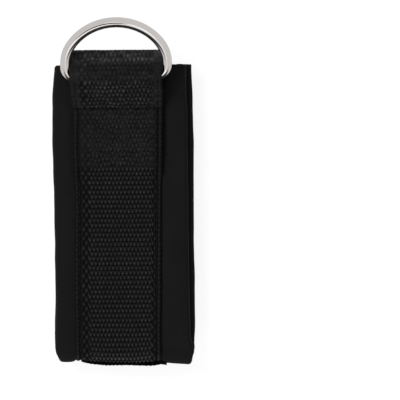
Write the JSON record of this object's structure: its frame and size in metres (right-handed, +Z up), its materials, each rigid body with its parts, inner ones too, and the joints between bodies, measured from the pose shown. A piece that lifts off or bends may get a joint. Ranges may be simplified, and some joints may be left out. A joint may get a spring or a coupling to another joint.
{
  "type": "ankle cuff",
  "caption": "Padded ankle cuff folded flat, with a wide webbing strap, a steel D-ring in a sewn loop and a hook-and-loop tail, for cable exercise machines.",
  "frame": {"origin": "under the middle of the whole object's bounding box, on the surface that the folded cuff lies on", "axes": "+Y along the cuff towards the D-ring, +Z up from the surface, +X across the cuff to the right as seen from above with the ring at the top"},
  "size_m": [0.0764, 0.189, 0.0348],
  "materials": {
    "steel": "polished nickel-plated steel",
    "webbing": "black pebble-weave polypropylene webbing",
    "pad_cover": "smooth black nylon knit over foam",
    "pad_lining": "soft black brushed knit",
    "foam": "black closed-cell foam",
    "loop_tape": "black napped loop tape",
    "hook_tape": "black moulded hooks on a woven base",
    "thread": "black polyester thread"
  },
  "bodies": {
    "back_half": {"back_foam": "foam", "back_cover": "pad_cover", "back_lining": "pad_lining", "back_strap": "webbing", "loop_tape": "loop_tape", "loop_tape_stitching": "thread", "fold_foam": "foam", "fold_cover": "pad_cover", "fold_lining": "pad_lining", "fold_strap": "webbing", "fold_loop_tape": "loop_tape"},
    "front_half": {"front_foam": "foam", "front_cover": "pad_cover", "front_lining": "pad_lining", "front_strap": "webbing", "strap_edge_stitching": "thread", "tucked_end": "webbing", "ring_loop": "webbing", "box_x_stitching": "thread"},
    "d_ring": {"d_ring": "steel"},
    "tail": {"tail_strap": "webbing", "tail_turn": "webbing", "hook_tape": "hook_tape", "hook_tape_stitching": "thread"}
  },
  "joints": [
    {"name": "unfold", "type": "hinge", "parent": "back_half", "child": "front_half", "pos_m": [0, -0.08745, 0.00965], "axis": [1, 0, 0], "range_deg": [0, 180], "deforming": ["fold_foam", "fold_cover", "fold_lining", "fold_strap", "fold_loop_tape"]},
    {"name": "ring_swing", "type": "hinge", "parent": "front_half", "child": "d_ring", "pos_m": [-0.0034, 0.06264, 0.01855], "axis": [0.9996, 0.0279, 0], "range_deg": [0, 148]},
    {"name": "tail_peel", "type": "hinge", "parent": "back_half", "child": "tail", "pos_m": [-0.0034, 0.072, 0.0025], "axis": [1, 0, 0], "range_deg": [0, 180], "deforming": ["tail_turn"]}
  ]
}
